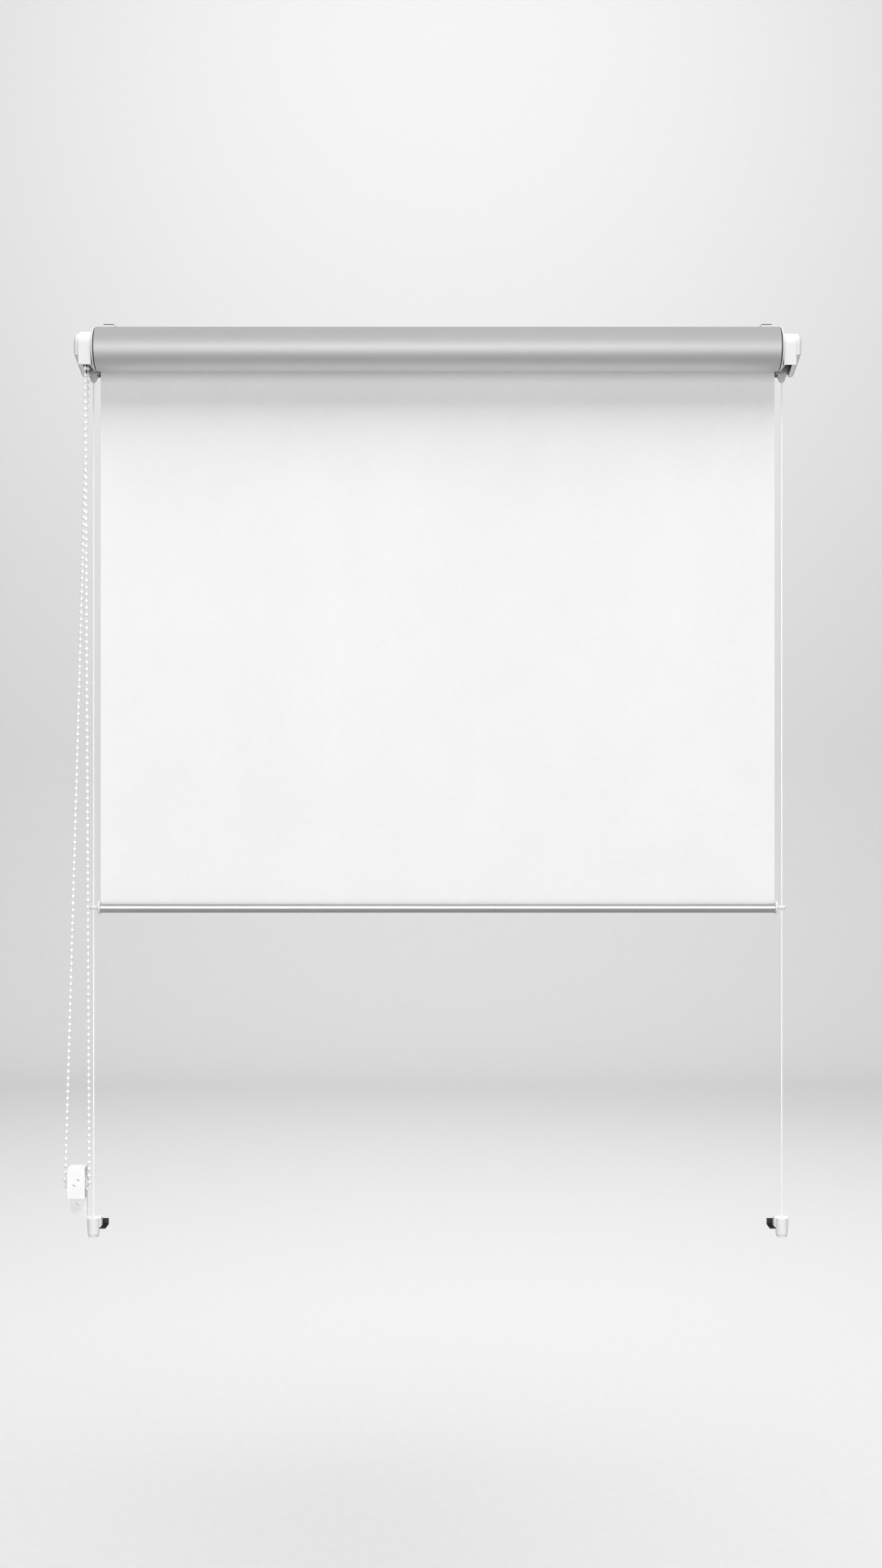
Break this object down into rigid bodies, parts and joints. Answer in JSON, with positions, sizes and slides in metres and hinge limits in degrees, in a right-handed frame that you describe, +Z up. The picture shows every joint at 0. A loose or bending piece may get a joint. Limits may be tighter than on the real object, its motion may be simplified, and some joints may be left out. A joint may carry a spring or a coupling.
{
  "type": "roller blind",
  "caption": "Blackout roller blind with chain drive, guide strings and bottom bar, clipped over a casement without drilling.",
  "frame": {"origin": "centre of the four bracket screw holes, on the casement's face, at the height of the roll's axis", "axes": "+X along the roll to the right, +Y from the room into the casement, +Z up"},
  "size_m": [0.6528, 0.0679, 0.8152],
  "materials": {
    "white_plastic": "smooth moulded white",
    "grey_plastic": "frosted light grey",
    "zinc_steel": "zinc plated",
    "dark_steel": "spring steel, darker",
    "aluminium": "drawn, satin anodised",
    "silver_backing": "silver grey blackout coating",
    "blackout_cloth": "fine white weave, silver backing behind",
    "guide_string": "white braided polyester",
    "chain_plastic": "white moulded beads"
  },
  "bodies": {
    "root": {"right_bracket": "zinc_steel", "left_bracket": "zinc_steel", "right_end_cap": "white_plastic", "left_end_cap": "white_plastic", "idle_drum_cover": "white_plastic", "chain_guard": "white_plastic", "clutch_shaft": "white_plastic", "idle_socket": "white_plastic", "right_hanger_hook": "dark_steel", "left_hanger_hook": "dark_steel", "right_hanger_saddle": "white_plastic", "left_hanger_saddle": "white_plastic", "right_clamp_screw": "zinc_steel", "left_clamp_screw": "zinc_steel", "right_string_holder": "grey_plastic", "left_string_holder": "grey_plastic", "right_guide_string": "guide_string", "left_guide_string": "guide_string", "right_tensioner": "white_plastic", "left_tensioner": "white_plastic", "right_tensioner_hook": "dark_steel", "left_tensioner_hook": "dark_steel", "chain_holder_base": "white_plastic", "chain_holder_cover": "white_plastic", "pulley_axle": "zinc_steel", "chain_cord": "chain_plastic", "chain_beads": "chain_plastic", "fabric_sheet": "blackout_cloth"},
    "roller": {"roller_tube": "aluminium", "fabric_roll": "silver_backing", "right_flange_disc": "white_plastic", "left_flange_disc": "white_plastic", "drive_plug": "white_plastic", "chain_wheel": "white_plastic", "brake_spring": "zinc_steel", "idle_plug": "white_plastic", "idle_spring": "zinc_steel"},
    "bar": {"bottom_bar": "aluminium", "hem_spline": "grey_plastic", "right_bar_cap": "white_plastic", "left_bar_cap": "white_plastic"},
    "idle_pin": {"idle_pin": "zinc_steel"},
    "pulley": {"chain_pulley": "white_plastic"},
    "right_knob": {"right_tension_knob": "white_plastic"},
    "left_knob": {"left_tension_knob": "white_plastic"}
  },
  "joints": [
    {"name": "roller_spin", "type": "hinge", "parent": "root", "child": "roller", "pos_m": [0, -0.0304, 0], "axis": [1, 0, 0], "range_deg": [-797.42, 1358.56], "deforming": ["chain_beads"]},
    {"name": "bar_travel", "type": "slide", "parent": "root", "child": "bar", "axis": [0, 0, 1], "range_m": [-0.2705, 0.4605], "deforming": ["fabric_sheet"]},
    {"name": "pulley_spin", "type": "hinge", "parent": "root", "child": "pulley", "pos_m": [-0.3214, -0.0084, -0.738], "axis": [0, 1, 0], "range_deg": [-639.5, 1088.1]},
    {"name": "idle_pin_slide", "type": "slide", "parent": "roller", "child": "idle_pin", "axis": [1, 0, 0], "range_m": [-0.005, 0], "stiffness_N_per_m": 300, "springref_m": 0.004},
    {"name": "right_knob_turn", "type": "hinge", "parent": "root", "child": "right_knob", "pos_m": [0.3064, -0.01049, -0.784], "axis": [0, 0, 1], "range_deg": [-720, 720]},
    {"name": "left_knob_turn", "type": "hinge", "parent": "root", "child": "left_knob", "pos_m": [-0.3064, -0.01049, -0.784], "axis": [0, 0, 1], "range_deg": [-720, 720]}
  ],
  "couplings": [
    {"joint": "bar_travel", "follows": "roller_spin", "m_per_rad": 0.0194},
    {"joint": "pulley_spin", "follows": "roller_spin", "ratio": 0.79948}
  ]
}
